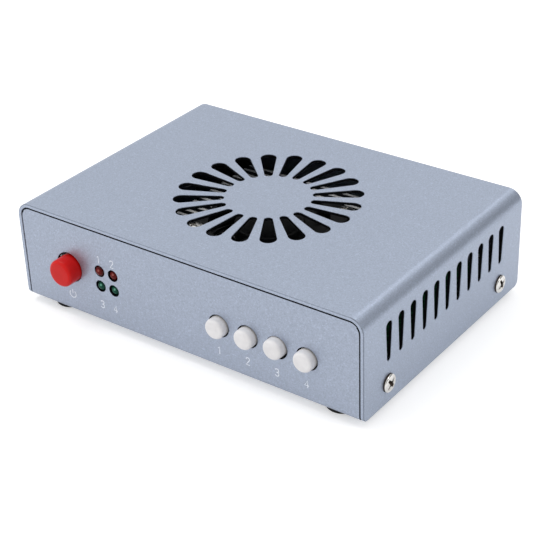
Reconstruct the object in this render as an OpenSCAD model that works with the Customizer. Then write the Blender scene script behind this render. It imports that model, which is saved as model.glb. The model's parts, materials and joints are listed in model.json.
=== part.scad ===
// Bench controller box: a folded-sheet case with a fan-cooled board, a push
// power button, four keys and four indicator lamps.
// Millimetres. +X is the width, the front panel faces -Y, +Z is up.
// The origin is on the surface the box stands on, below the centre of its outline.

/* [Case] */
// Width over the cover's side walls
case_w = 110; // [104:1:130]
// Depth of the cover, front edge to rear edge
case_d = 77.1; // [74:0.1:90]
// Height from the tray's underside to the cover's top
case_h = 28.7; // [27:0.1:36]
// Thickness of the folded sheet
sheet_t = 1.0; // [0.8:0.1:1.4]
// Outer radius of the cover's two long bends
cover_bend_r = 4.0; // [2.5:0.1:5]
// Rounding of the cover walls' lower corners
wall_corner_r = 1.7; // [0.8:0.1:3]
// How far the panels lie inside the cover's front and rear edges
panel_set_in = 0.1; // [0.1:0.05:1]
// Gap between the tray and the inside of the cover's side walls
cover_gap = 0.15; // [0.1:0.05:0.5]
// Gap between the panels' upper edges and the inside of the cover's top
cover_top_gap = 0.4; // [0.2:0.05:0.6]
// Outer radius of the tray's bends
tray_bend_r = 1.5; // [1.5:0.1:2.5]
// Height of the tray's side flanges
flange_h = 10; // [9:0.5:12]
// Distance between a side flange's ends and the panels
flange_end_gap = 4.25; // [2:0.25:8]

/* [Top vent] */
// Number of petal openings
petal_count = 20; // [12:1:20]
// Radius of the ring that the petals reach out to
vent_r = 25.4; // [22:0.1:28]
// Radius of the blank centre
vent_blank_r = 11.8; // [11:0.1:14]
// Radius of a petal's outer end
petal_outer_r = 2.2; // [1.6:0.1:2.4]
// Radius of a petal's inner end
petal_inner_r = 1.12; // [0.6:0.02:1.3]

/* [Side slots] */
// Number of slots in each side wall
slot_count = 11; // [5:1:12]
// Distance from slot to slot
slot_pitch = 5.49; // [4:0.01:6]
// Radius of a slot's upper end
slot_top_r = 1.35; // [0.9:0.05:1.6]
// Radius of a slot's lower end
slot_low_r = 0.78; // [0.5:0.02:1.2]
// Distance of the slots' upper ends below the cover's top
slot_drop = 5.6; // [5:0.1:8]
// Length of a slot
slot_len = 11.1; // [7:0.1:12]

/* [Screws] */
// Thread diameter of every screw
screw_d = 3.0; // [2.5:0.1:3.2]
// Diameter of a screw head
head_d = 5.5; // [4.6:0.1:6]
// Height of a domed screw head
head_h = 1.0; // [0.9:0.1:2]
// Width of one arm of the cross recess
recess_w = 0.75; // [0.5:0.05:1]
// Tip-to-tip size of the cross recess
recess_len = 3.1; // [2.4:0.1:3.4]
// Radial gap between a screw and a clearance hole
hole_gap = 0.2; // [0.1:0.05:0.3]
// Radial gap between a screw and the thread that takes it
thread_gap = 0.03; // [0.02:0.01:0.08]
// Length of a cover screw under its head
cover_screw_len = 5; // [4.5:0.5:5]
// Height of the cover screws above the case's underside
cover_screw_z = 5.7; // [5.2:0.1:6.5]
// Distance of a cover screw from the cover's front or rear edge
cover_screw_inset = 10.95; // [10.2:0.05:16]
// Outer diameter of a clinch nut
nut_d = 5.4; // [4.8:0.1:6]
// Height of a clinch nut
nut_h = 1.9; // [1.4:0.1:2.2]

/* [Feet] */
// Diameter of a foot where it meets the tray
foot_d = 10; // [8:0.5:12]
// Diameter of a foot's tread
foot_tread_d = 8.6; // [6:0.2:10]
// Height of a foot
foot_h = 2.0; // [1.5:0.1:4]
// Distance of a foot's axis from the case's side
foot_inset_x = 10.2; // [8:0.1:16]
// Distance of a foot's axis from the case's front or rear
foot_inset_y = 6.6; // [6:0.1:12]

/* [Board] */
// Thickness of the main board
board_t = 1.6; // [1.2:0.1:2]
// Height of the standoffs under the board
standoff_h = 5.4; // [5:0.2:7]
// Diameter of a standoff
standoff_d = 6; // [5:0.2:7]
// Gap between the board and the front and rear panels
board_end_gap = 1.45; // [1:0.05:2]
// Gap between the board and the tray's side flanges
board_side_gap = 3.25; // [3:0.05:4]
// Distance of a board screw from the board's edges
board_screw_inset = 4.1; // [3.6:0.1:4.4]
// Length of a board screw under its head
board_screw_len = 6; // [5:0.5:6]

/* [Power button] */
// Diameter of the red cap
power_d = 7.8; // [6.5:0.1:8.4]
// How far the cap stands out of the case
power_out = 4.1; // [3.5:0.1:6]
// Length of the cap
power_len = 8.4; // [8.2:0.1:9]
// Radial gap around the cap in the panel
power_gap = 0.4; // [0.35:0.05:0.45]
// Offset of the cap in its hole, to the right and down
power_skew = 0.2; // [0:0.05:0.2]
// Distance of the hole's axis from the case's left side
power_inset = 16.95; // [16:0.05:20]
// Height of the hole's axis above the board
power_axis_h = 5.65; // [5.4:0.05:7]
// Travel of the power button
power_travel = 2.5; // [1.5:0.1:2.6]
// Width of the square plunger
plunger_w = 3.0; // [2.4:0.1:3.4]
// Width of the power switch's housing
power_body_w = 8.5; // [7:0.1:9]
// Depth of the power switch's housing
power_body_d = 12; // [10:0.5:13]
// Height of the power switch's housing
power_body_h = 10.4; // [10.2:0.1:12]
// Distance of the housing behind the panel
power_body_gap = 6.4; // [6.2:0.1:7]

/* [Keys] */
// Number of keys, for which the node names allow four
key_count = 4; // [4:1:4]
// Diameter of a key cap
key_d = 5.6; // [5:0.1:6]
// How far a key cap stands out of the case
key_out = 2.1; // [1.5:0.1:3]
// Radial gap around a key cap in the panel
key_gap = 0.32; // [0.3:0.02:0.36]
// Distance from key to key
key_pitch = 8.9; // [8.4:0.1:10]
// Distance of the last key's axis from the case's right side
key_inset = 16.25; // [15:0.05:18]
// Height of the keys' axes above the board
key_axis_h = 4.6; // [4.2:0.1:5]
// Travel of a key
key_travel = 0.25; // [0.2:0.05:0.3]
// Offset of a cap in its hole, sideways and up or down
key_skew = 0.17; // [0:0.01:0.17]
// Width of the retaining rim around the back of a cap
key_rim = 0.9; // [0.8:0.05:1.1]
// Thickness of the retaining rim
key_rim_t = 0.8; // [0.5:0.1:1]
// Gap between the retaining rim and the panel
key_rim_gap = 0.3; // [0.2:0.05:0.4]
// Diameter of a key stem
stem_d = 3.4; // [2.6:0.1:3.8]
// Width of a key switch's housing
key_body_w = 6.0; // [5:0.1:6.2]
// Depth of a key switch's housing
key_body_d = 3.6; // [3.2:0.1:4]
// Height of a key switch's housing
key_body_h = 7.6; // [7.2:0.1:8.5]
// Distance of the key switches' housings behind the panel
key_body_gap = 1.85; // [1.75:0.05:2.2]

/* [Lamps] */
// Diameter of a lamp's bulb
lamp_d = 3.0; // [2.6:0.1:3.4]
// Radial gap around a bulb in the panel
lamp_gap = 0.13; // [0.08:0.01:0.3]
// Diameter of the flange around a bulb's base
lamp_flange_d = 3.8; // [3.6:0.1:4]
// Length of a lamp, base to tip
lamp_len = 5.0; // [4.6:0.1:5.4]
// Side-to-side distance between lamps
lamp_pitch_x = 4.6; // [4.4:0.1:6]
// Up-and-down distance between lamps
lamp_pitch_z = 4.5; // [4.4:0.1:5.5]
// Distance of the lamp block's centre from the case's left side
lamp_inset = 30.1; // [29:0.1:34]
// Height of the lower lamps' axes above the board
lamp_low_h = 3.3; // [3:0.1:4.5]
// Depth of the block that holds the lamps
lamp_block_d = 6.6; // [6.2:0.1:8]
// Gap between the lamp block and the panel
lamp_block_gap = 0.35; // [0.2:0.05:0.6]

/* [Fan and heat sink] */
// Side of the square heat sink
sink_w = 50; // [46:0.5:52]
// Distance of the fins' tops below the cover's top
sink_top_drop = 7.8; // [7.4:0.1:8.6]
// Thickness of the heat sink's base
sink_base_t = 2.0; // [1.5:0.1:2]
// Number of fins
fin_count = 20; // [18:1:21]
// Thickness of a fin
fin_t = 1.0; // [0.6:0.1:1]
// Gap around the fan in the heat sink's pocket
pocket_gap = 0.4; // [0.3:0.1:1]
// Side of the square fan
fan_w = 35; // [34:0.5:36]
// Thickness of the fan
fan_t = 8; // [7.6:0.1:8.2]
// How far the fan stands above the fins
fan_rise = 0.7; // [0.4:0.1:1.2]
// Distance between the fan's screws
fan_screw_span = 29; // [28.6:0.1:29.4]
// Wall of the fan's frame beside its duct
fan_wall = 1.0; // [0.8:0.1:1.4]
// Gap between the blade tips and the duct
tip_gap = 0.6; // [0.4:0.1:1]
// Diameter of the rotor's hub
hub_d = 19; // [18:0.5:20]
// Wall of the rotor's hub
hub_wall = 0.8; // [0.6:0.1:1]
// Number of blades
blade_count = 7; // [5:1:9]
// Thickness of a blade
blade_t = 1.0; // [0.7:0.1:1.3]
// Slope of the blades
blade_slope = 38; // [30:1:50]
// Diameter of the rotor's shaft
shaft_d = 2.0; // [1.6:0.1:2.4]
// Radial running gap between shaft and bearing
shaft_gap = 0.03; // [0.02:0.01:0.05]

/* [Rear sockets] */
// Distance of the power inlet's axis from the case's left side
jack_inset = 17; // [15.5:0.5:20]
// Width of the power inlet's housing
jack_w = 9; // [8.6:0.1:10]
// Height of the power inlet's housing
jack_h = 11; // [10.6:0.1:12]
// Depth of the power inlet's housing behind the panel
jack_d = 12.8; // [12:0.1:14]
// Diameter of the power inlet's nose
jack_nose_d = 8.0; // [7.6:0.1:8.4]
// Diameter of the power inlet's bore
jack_bore_d = 6.3; // [5.8:0.1:6.8]
// Diameter of the power inlet's centre pin
jack_pin_d = 2.1; // [1.6:0.1:2.5]
// Distance of the data socket's centre from the case's left side
usb_inset = 38.5; // [34:0.5:44]
// Width of the data socket's shell
usb_w = 8.94; // [8.6:0.02:9.4]
// Height of the data socket's shell
usb_h = 3.2; // [3:0.02:3.6]
// Depth of the data socket's shell
usb_d = 7.35; // [7:0.05:9]
// Distance of the output header's centre from the case's right side
output_inset = 32; // [26:0.5:36]
// Number of output pins
output_count = 4; // [2:1:5]
// Distance from output pin to output pin
output_pitch = 3.81; // [3.5:0.01:4]
// Depth of the output header
output_d = 9.2; // [9:0.1:11]
// Height of the output header
output_h = 7.2; // [6.8:0.1:8]
// How far the output header stands out of the case
output_out = 1.1; // [1:0.1:3]
// Gap around the sockets in the rear panel
socket_gap = 0.25; // [0.15:0.05:0.4]

/* [Hidden] */
$fn = 48;

// A cut runs this far past the faces it opens
cut = 0.5;
// Where a drop's straight sides start, as a share of its ends' radii
side_share = 0.998;
// Gap of a pressed or glued seat
seat_gap = 0.02;
// Gap of a sliding seat
slide_gap = 0.05;

// Planes of the case, from its underside and its centre
front_y = -case_d / 2;
panel_y = front_y + panel_set_in;
panel_back_y = panel_y + sheet_t;
panel_w = case_w - 2 * (sheet_t + cover_gap);
panel_top = case_h - sheet_t - cover_top_gap;
panel_corner_r = cover_bend_r - sheet_t - cover_gap;
cover_under = case_h - sheet_t;
flange_x = panel_w / 2 - sheet_t;
flange_len = -2 * panel_back_y - 2 * flange_end_gap;
cover_screw_y = case_d / 2 - cover_screw_inset;
bend_relief = 0.8;

// Board and its screws
board_z = sheet_t + standoff_h;
board_top = board_z + board_t;
board_w = 2 * (flange_x - board_side_gap);
board_d = -2 * (panel_back_y + board_end_gap);
board_screw_x = board_w / 2 - board_screw_inset;
board_screw_y = board_d / 2 - board_screw_inset;
screw_r = screw_d / 2;
hole_r = screw_r + hole_gap;
thread_r = screw_r + thread_gap;

// Power button
power_hole_x = power_inset - case_w / 2;
power_hole_z = board_top + power_axis_h;
power_x = power_hole_x + power_skew;
power_z = power_hole_z - power_skew;
power_edge_r = 0.7;
power_body_y = panel_back_y + power_body_gap;
plunger_in = 2.0;
power_socket = 5.0;
power_back_y = front_y - power_out + power_len;

// Keys
key_z = board_top + key_axis_h;
key_edge_r = 0.8;
key_rim_y = panel_back_y + key_rim_gap;
key_back_y = key_rim_y + key_rim_t;
key_body_y = panel_back_y + key_body_gap;
key_socket = 2.6;
stem_in = 1.4;
key_boss_w = 1.0;
key_boss_h = 0.5;

// Lamps
lamp_x = lamp_inset - case_w / 2;
lamp_r = lamp_d / 2;
lamp_flange_t = 1.0;
lamp_high_z = board_top + lamp_low_h + lamp_pitch_z;
lamp_block_y = panel_back_y + lamp_block_gap;
lamp_block_wall = 0.7;
lamp_bore_r = lamp_flange_d / 2 + slide_gap;
lamp_block_w = lamp_pitch_x + 2 * (lamp_bore_r + lamp_block_wall);
// How far each bulb's tip stands out of the case
red_out_1 = 0.6;
red_out_2 = 0.1;
green_out_1 = 0.2;
green_out_2 = 0.0;

// Processor, heat sink and fan, stacked on the board
chip_w = 23;
chip_t = 1.4;
pad_t = 0.2;
pad_w = 21;
sink_z = board_top + chip_t + pad_t;
sink_top = case_h - sink_top_drop;
fin_pitch = (sink_w - fin_t) / (fin_count - 1);
pocket_w = fan_w + 2 * pocket_gap;
fan_top = sink_top + fan_rise;
fan_z = fan_top - fan_t;
fan_screw_at = fan_screw_span / 2;
fan_boss_wall = 1.4;
fan_boss_r = screw_r + fan_boss_wall;
fan_corner_r = 3.0;
fan_nut_h = 2.4;
fan_nut_d = 6.2;
fan_screw_len = fan_top - board_z + fan_nut_h;
duct_r = fan_w / 2 - fan_wall;
blade_r = duct_r - tip_gap;
hub_r = hub_d / 2;
strut_t = 1.2;
strut_w = 3.0;
// Height of the struts above the fan's underside
strut_lift = 0.2;
// Height of the motor plate above the struts, and how far it lies inside the hub
plate_step = 0.1;
plate_inset = 0.4;
// Running gaps of the rotor: under it, above it, over the bearing's tube and
// between magnet and stator
rotor_low_gap = 0.4;
rotor_top_gap = 0.3;
tube_top_gap = 0.6;
air_gap = 0.5;
// How far the blades stay short of the hub's two ends
blade_margin = 0.4;
// Length of a blade before it is cut level, as a share of its chord
blade_reach = 1.3;
motor_plate_r = hub_r - plate_inset;
motor_plate_z = fan_z + strut_lift + strut_t + plate_step;
rotor_z = motor_plate_z + rotor_low_gap;
rotor_top = fan_top - rotor_top_gap;
blade_z = rotor_z + blade_margin;
blade_h = rotor_top - blade_margin - blade_z;
bearing_wall = 1.4;
tube_wall = 0.8;
bearing_r = shaft_d / 2 + shaft_gap + bearing_wall;
tube_r = bearing_r + seat_gap + tube_wall;
tube_top = rotor_top - hub_wall - tube_top_gap;
magnet_wall = 0.9;
magnet_r = hub_r - hub_wall - seat_gap;
magnet_h = 3.6;
magnet_lift = 0.3;
stator_r = magnet_r - magnet_wall - air_gap;
stator_h = 3.0;
stator_lift = 0.3;
shaft_end_gap = 0.3;

// Fan leads, one on each side of a fin that is counted from the front, and their header
bay_x = (sink_w / 2 + board_w / 2) / 2;
lead_d = 1.2;
lead_bend_r = 1.8;
lead_fin = 7;
lead_y = lead_fin * fin_pitch + fin_t / 2 - sink_w / 2;
lead_lift = 3.0;
lead_z = fan_z + lead_lift;
lead_drop = 0.8;
header_h = lead_z - lead_bend_r - lead_drop - board_top;
header_w = 4.6;
header_len = 7.4;
header_x = -sink_w / 2 - lead_bend_r - header_w / 2;

// Rear sockets, measured like the front ones and turned to the rear
rear_y = -front_y;
rear_panel_y = -panel_back_y;
jack_x = jack_inset - case_w / 2;
jack_axis_lift = 0.6;
jack_nose_out = 0.6;
jack_front_y = rear_panel_y - jack_d;
jack_z = board_top + jack_h / 2 + jack_axis_lift;
jack_nose_y = rear_y + jack_nose_out;
jack_bore_len = 9.5;
jack_pin_len = 8.6;
usb_x = usb_inset - case_w / 2;
usb_z = board_top + usb_h / 2;
usb_wall = 0.3;
usb_back = 1.2;
usb_end_y = -panel_y;
tongue_w = 6.7;
tongue_t = 0.7;
tongue_len = 4.6;
output_x = case_w / 2 - output_inset;
output_wall = 0.9;
output_side = 2.7;
output_w = (output_count - 1) * output_pitch + 2 * output_side;
output_end_y = rear_y + output_out;
output_back = 1.2;
output_pin_w = 1.0;
output_pin_len = 6.6;

// Parts on the board. The capacitors stand off the power inlet by can_gap
can_d = 8;
can_h = 11.5;
can_edge_r = 0.5;
can_pitch = 9.2;
can_gap = 2.9;
coil_w = 11;
coil_h = 5.5;
coil_edge_r = 1.4;
controller_w = 10;
controller_h = 1.4;
small_count = 6;
small_size = [1.0, 2.0, 0.7];
small_pitch = 3.2;
small_gap = [4.0, 1.3];

// Shift that puts the origin below the centre of the outline
shift_y = (power_out - output_out) / 2;

// ---------------------------------------------------------------- helpers

// Moves a piece from the case's own planes to the part's frame
module place() {
    translate([0, shift_y, foot_h]) children();
}

// Turns a piece so that its +Z points out of the front panel
module to_front(x, y, z) {
    translate([x, y, z]) rotate([90, 0, 0]) children();
}

// Turns a piece so that its +Z points out of the rear panel
module to_rear(x, y, z) {
    translate([x, y, z]) rotate([-90, 0, 0]) children();
}

// Extrudes an outline drawn across and up, along the depth
module along_depth(len) {
    rotate([90, 0, 0]) linear_extrude(len, center = true) children();
}

// Extrudes an outline drawn in depth and up, along the width
module along_width(len) {
    rotate([90, 0, 90]) linear_extrude(len, center = true) children();
}

// Repeats a piece at the four corners of a rectangle
module at_corners(x, y) {
    for (sx = [-1, 1], sy = [-1, 1]) translate([sx * x, sy * y, 0]) children();
}

// Rectangle with its two upper corners rounded, standing on the baseline
module arch(w, h, r) {
    translate([-w / 2, 0]) square([w, h - r]);
    translate([-w / 2 + r, 0]) square([w - 2 * r, h]);
    for (s = [-1, 1]) translate([s * (w / 2 - r), h - r]) circle(r);
}

// Rectangle with its two lower corners rounded, standing on the baseline
module trough(w, h, r) {
    translate([-w / 2, r]) square([w, h - r]);
    translate([-w / 2 + r, 0]) square([w - 2 * r, h]);
    for (s = [-1, 1]) translate([s * (w / 2 - r), r]) circle(r);
}

// Folded channel, open upwards
module channel(w, h, r) {
    difference() {
        trough(w, h, r);
        translate([0, sheet_t]) trough(w - 2 * sheet_t, h, r - sheet_t);
    }
}

// What rounding takes off an outside corner at the origin, the corner's
// body lying towards -X and -Y
module corner_waste(r) {
    difference() {
        translate([-r, -r]) square([r + cut, r + cut]);
        translate([-r, -r]) circle(r);
    }
}

// Drop-shaped outline along +X: two round ends joined by straight sides. The
// sides start just inside the ends, so that they cross them and don't only touch
module drop(r_far, x_far, r_near, x_near) {
    translate([x_far, 0]) circle(r_far);
    translate([x_near, 0]) circle(r_near);
    polygon([
        [x_far, -side_share * r_far], [x_far, side_share * r_far],
        [x_near, side_share * r_near], [x_near, -side_share * r_near]
    ]);
}

// Rectangle with round ends
module obround(w, h) {
    square([w - h, h], center = true);
    for (s = [-1, 1]) translate([s * (w - h) / 2, 0]) circle(h / 2);
}

// Square with round corners, centred
module round_square(w, r) {
    square([w, w - 2 * r], center = true);
    square([w - 2 * r, w], center = true);
    for (sx = [-1, 1], sy = [-1, 1]) {
        translate([sx * (w / 2 - r), sy * (w / 2 - r)]) circle(r);
    }
}

// Round button: a disc of revolution with a rounded outer edge
module button(r, len, edge_r) {
    rotate_extrude() {
        square([r - edge_r, len]);
        square([r, len - edge_r]);
        translate([r - edge_r, len - edge_r]) circle(edge_r);
    }
}

// Screw with a domed head and a cross recess; its head stands on z = 0
module screw(len) {
    rim = head_h / 3;
    dome = head_h - rim;
    dome_r = (pow(head_d / 2, 2) + dome * dome) / (2 * dome);
    translate([0, 0, -len]) cylinder(h = len, d = screw_d);
    difference() {
        union() {
            cylinder(h = rim, d = head_d);
            intersection() {
                translate([0, 0, head_h - dome_r]) sphere(dome_r);
                translate([0, 0, rim]) cylinder(h = dome, d = head_d);
            }
        }
        for (a = [0, 90]) rotate(a) {
            translate([-recess_len / 2, -recess_w / 2, rim]) cube([recess_len, recess_w, head_h]);
        }
    }
}

// ---------------------------------------------------------------- case

module top_cover() {
    slot_top_z = case_h - slot_drop - slot_top_r;
    slot_low_z = case_h - slot_drop - slot_len + slot_low_r;
    color([0.67, 0.72, 0.78]) difference() {
        along_depth(case_d) difference() {
            arch(case_w, case_h, cover_bend_r);
            translate([0, -cut]) {
                arch(case_w - 2 * sheet_t, cover_under + cut, cover_bend_r - sheet_t);
            }
        }
        for (s = [0, 1]) mirror([0, s, 0]) {
            translate([0, case_d / 2, 0]) along_width(case_w + 2 * cut) {
                mirror([0, 1]) corner_waste(wall_corner_r);
            }
        }
        for (i = [0 : petal_count - 1]) rotate(i * 360 / petal_count) {
            translate([0, 0, cover_under - cut]) linear_extrude(sheet_t + 2 * cut) {
                drop(petal_outer_r, vent_r - petal_outer_r,
                     petal_inner_r, vent_blank_r + petal_inner_r);
            }
        }
        for (i = [0 : slot_count - 1]) {
            translate([0, (i - (slot_count - 1) / 2) * slot_pitch, 0]) {
                along_width(case_w + 2 * cut) rotate(90) {
                    drop(slot_top_r, slot_top_z, slot_low_r, slot_low_z);
                }
            }
        }
        for (s = [-1, 1]) translate([0, s * cover_screw_y, cover_screw_z]) {
            rotate([0, 90, 0]) cylinder(h = case_w + 2 * cut, r = hole_r, center = true);
        }
    }
}

// Holes of the front panel, one around each button, key and lamp
module front_holes() {
    reach = panel_set_in + sheet_t + cut;
    to_front(power_hole_x, front_y + reach, power_hole_z) {
        cylinder(h = reach + cut, r = power_d / 2 + power_gap);
    }
    for (i = [0 : key_count - 1]) to_front(key_hole_x(i), front_y + reach, key_z) {
        cylinder(h = reach + cut, r = key_d / 2 + key_gap);
    }
    for (i = [0, 1], j = [0, 1]) to_front(lamp_at_x(i), front_y + reach, lamp_at_z(j)) {
        cylinder(h = reach + cut, r = lamp_r + lamp_gap);
    }
}

// Openings of the rear panel, one around each socket
module rear_holes() {
    from_y = rear_panel_y - cut;
    depth = sheet_t + 2 * cut;
    to_rear(jack_x, from_y, jack_z) cylinder(h = depth, r = jack_nose_d / 2 + socket_gap);
    to_rear(usb_x, from_y, usb_z) linear_extrude(depth) {
        obround(usb_w + 2 * socket_gap, usb_h + 2 * socket_gap);
    }
    translate([output_x - output_w / 2 - socket_gap, from_y, board_top - socket_gap]) {
        cube([output_w + 2 * socket_gap, depth, output_h + 2 * socket_gap]);
    }
}

module base_tray() {
    color([0.64, 0.68, 0.74]) difference() {
        union() {
            difference() {
                along_width(panel_w) channel(-2 * panel_y, panel_top, tray_bend_r);
                for (s = [-1, 1]) translate([s * panel_w / 2, 0, 0]) {
                    cube([2 * tray_bend_r, flange_len + 2 * bend_relief, 3 * sheet_t], center = true);
                }
            }
            along_depth(flange_len) channel(panel_w, flange_h, tray_bend_r);
        }
        for (s = [0, 1]) mirror([s, 0, 0]) {
            translate([panel_w / 2, 0, panel_top]) along_depth(case_d + 2 * cut) {
                corner_waste(panel_corner_r);
            }
        }
        for (s = [-1, 1]) translate([0, s * cover_screw_y, cover_screw_z]) {
            rotate([0, 90, 0]) cylinder(h = case_w + 2 * cut, r = hole_r, center = true);
        }
        front_holes();
        rear_holes();
    }
}

module clinch_nuts() {
    color([0.72, 0.72, 0.74]) for (s = [0, 1], sy = [-1, 1]) mirror([s, 0, 0]) {
        translate([flange_x - nut_h, sy * cover_screw_y, cover_screw_z]) {
            rotate([0, 90, 0]) difference() {
                cylinder(h = nut_h, d = nut_d);
                translate([0, 0, -cut]) cylinder(h = nut_h + 2 * cut, r = thread_r);
            }
        }
    }
}

module cover_screws() {
    color([0.78, 0.78, 0.8]) for (s = [0, 1], sy = [-1, 1]) mirror([s, 0, 0]) {
        translate([case_w / 2, sy * cover_screw_y, cover_screw_z]) {
            rotate([0, 90, 0]) screw(cover_screw_len);
        }
    }
}

module rubber_feet() {
    color([0.06, 0.06, 0.07]) at_corners(case_w / 2 - foot_inset_x, case_d / 2 - foot_inset_y) {
        translate([0, 0, -foot_h]) cylinder(h = foot_h, d1 = foot_tread_d, d2 = foot_d);
    }
}

// ---------------------------------------------------------------- board

module standoffs() {
    color([0.75, 0.74, 0.7]) at_corners(board_screw_x, board_screw_y) {
        translate([0, 0, sheet_t]) difference() {
            cylinder(h = standoff_h, d = standoff_d);
            translate([0, 0, -cut]) cylinder(h = standoff_h + 2 * cut, r = thread_r);
        }
    }
}

module board_screws() {
    color([0.78, 0.78, 0.8]) at_corners(board_screw_x, board_screw_y) {
        translate([0, 0, board_top]) screw(board_screw_len);
    }
}

module main_board() {
    color([0.05, 0.25, 0.14]) difference() {
        translate([-board_w / 2, -board_d / 2, board_z]) cube([board_w, board_d, board_t]);
        at_corners(board_screw_x, board_screw_y) {
            translate([0, 0, board_z - cut]) cylinder(h = board_t + 2 * cut, r = hole_r);
        }
        at_corners(fan_screw_at, fan_screw_at) {
            translate([0, 0, board_z - cut]) cylinder(h = board_t + 2 * cut, r = hole_r);
        }
    }
}

// ---------------------------------------------------------------- power button

module power_cap() {
    color([0.78, 0.15, 0.14]) to_front(power_x, power_back_y, power_z) difference() {
        button(power_d / 2, power_len, power_edge_r);
        translate([0, 0, power_socket / 2 - cut]) {
            cube([plunger_w + 2 * seat_gap, plunger_w + 2 * seat_gap, power_socket + 2 * cut],
                 center = true);
        }
    }
}

module power_plunger() {
    tip_y = power_back_y - power_socket;
    end_y = power_body_y + plunger_in;
    color([0.9, 0.9, 0.88]) translate([power_x - plunger_w / 2, tip_y, power_z - plunger_w / 2]) {
        cube([plunger_w, end_y - tip_y, plunger_w]);
    }
}

module power_switch() {
    bore_w = plunger_w + 2 * slide_gap;
    bore_len = plunger_in + power_travel + slide_gap;
    color([0.12, 0.12, 0.13]) difference() {
        translate([power_x - power_body_w / 2, power_body_y, board_top]) {
            cube([power_body_w, power_body_d, power_body_h]);
        }
        translate([power_x - bore_w / 2, power_body_y - cut, power_z - bore_w / 2]) {
            cube([bore_w, bore_len + cut, bore_w]);
        }
    }
}

// ---------------------------------------------------------------- keys

// Axis of a key's hole in the panel, counted from the left
function key_hole_x(i) = case_w / 2 - key_inset - (key_count - 1 - i) * key_pitch;
// A cap sits left of and below its hole's centre, the third one left and above
function key_x(i) = key_hole_x(i) - key_skew;
function key_cap_z(i) = key_z + (i == 2 ? key_skew : -key_skew);

module key_cap(i) {
    len = key_back_y - front_y + key_out;
    color([0.89, 0.88, 0.88]) to_front(key_x(i), key_back_y, key_cap_z(i)) difference() {
        union() {
            button(key_d / 2, len, key_edge_r);
            cylinder(h = key_rim_t, r = key_d / 2 + key_rim);
        }
        translate([0, 0, -cut]) cylinder(h = key_socket + cut, r = stem_d / 2 + seat_gap);
    }
}

module key_stem(i) {
    len = key_body_y + stem_in - key_back_y + key_socket;
    color([0.15, 0.15, 0.16]) to_front(key_x(i), key_body_y + stem_in, key_cap_z(i)) {
        cylinder(h = len, d = stem_d);
    }
}

module key_switch(i) {
    bore_len = stem_in + key_travel + slide_gap;
    color([0.1, 0.1, 0.11]) difference() {
        union() {
            translate([key_x(i) - key_body_w / 2, key_body_y, board_top]) {
                cube([key_body_w, key_body_d, key_body_h]);
            }
            to_front(key_x(i), key_body_y, key_cap_z(i)) {
                cylinder(h = key_boss_h, r = stem_d / 2 + key_boss_w / 2);
            }
        }
        to_front(key_x(i), key_body_y + bore_len, key_cap_z(i)) {
            cylinder(h = bore_len + key_boss_h + cut, r = stem_d / 2 + slide_gap);
        }
    }
}

// ---------------------------------------------------------------- lamps

// Lamp axes: i counts the columns from the left, j the rows from below
function lamp_at_x(i) = lamp_x + (i - 0.5) * lamp_pitch_x;
function lamp_at_z(j) = board_top + lamp_low_h + j * lamp_pitch_z;

module lamp(i, j, out) {
    to_front(lamp_at_x(i), front_y - out + lamp_len, lamp_at_z(j)) rotate_extrude() {
        square([lamp_flange_d / 2, lamp_flange_t]);
        square([lamp_r, lamp_len - lamp_r]);
        translate([0, lamp_len - lamp_r]) intersection() {
            circle(lamp_r);
            square([lamp_r, lamp_r]);
        }
    }
}

module lamp_red_1() {
    color([0.45, 0.1, 0.1]) lamp(0, 1, red_out_1);
}

module lamp_red_2() {
    color([0.45, 0.1, 0.1]) lamp(1, 1, red_out_2);
}

module lamp_green_1() {
    color([0.1, 0.35, 0.2]) lamp(0, 0, green_out_1);
}

module lamp_green_2() {
    color([0.1, 0.35, 0.2]) lamp(1, 0, green_out_2);
}

module lamp_block() {
    top = lamp_high_z + lamp_bore_r + lamp_block_wall;
    color([0.08, 0.08, 0.09]) difference() {
        translate([lamp_x - lamp_block_w / 2, lamp_block_y, board_top]) {
            cube([lamp_block_w, lamp_block_d, top - board_top]);
        }
        for (i = [0, 1], j = [0, 1]) {
            to_front(lamp_at_x(i), front_y + lamp_len + slide_gap, lamp_at_z(j)) {
                cylinder(h = lamp_len + cut, r = lamp_bore_r);
            }
        }
    }
}

// ---------------------------------------------------------------- processor and fan

module processor() {
    color([0.16, 0.16, 0.18]) translate([-chip_w / 2, -chip_w / 2, board_top]) {
        cube([chip_w, chip_w, chip_t]);
    }
}

module thermal_pad() {
    color([0.55, 0.6, 0.7]) translate([-pad_w / 2, -pad_w / 2, board_top + chip_t]) {
        cube([pad_w, pad_w, pad_t]);
    }
}

// Fins that stand on a base, with a pocket for the fan and bosses for its screws
module heat_sink() {
    color([0.72, 0.74, 0.77]) difference() {
        union() {
            difference() {
                for (i = [0 : fin_count - 1]) {
                    translate([-sink_w / 2, i * fin_pitch - sink_w / 2, sink_z]) {
                        cube([sink_w, fin_t, sink_top - sink_z]);
                    }
                }
                translate([-pocket_w / 2, -pocket_w / 2, fan_z]) cube([pocket_w, pocket_w, fan_t]);
            }
            translate([-sink_w / 2, -sink_w / 2, sink_z]) cube([sink_w, sink_w, sink_base_t]);
            at_corners(fan_screw_at, fan_screw_at) {
                translate([0, 0, board_top]) cylinder(h = fan_z - board_top, r = fan_boss_r);
            }
        }
        at_corners(fan_screw_at, fan_screw_at) {
            translate([0, 0, board_top - cut]) {
                cylinder(h = fan_z - board_top + 2 * cut, r = hole_r);
            }
        }
    }
}

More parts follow.
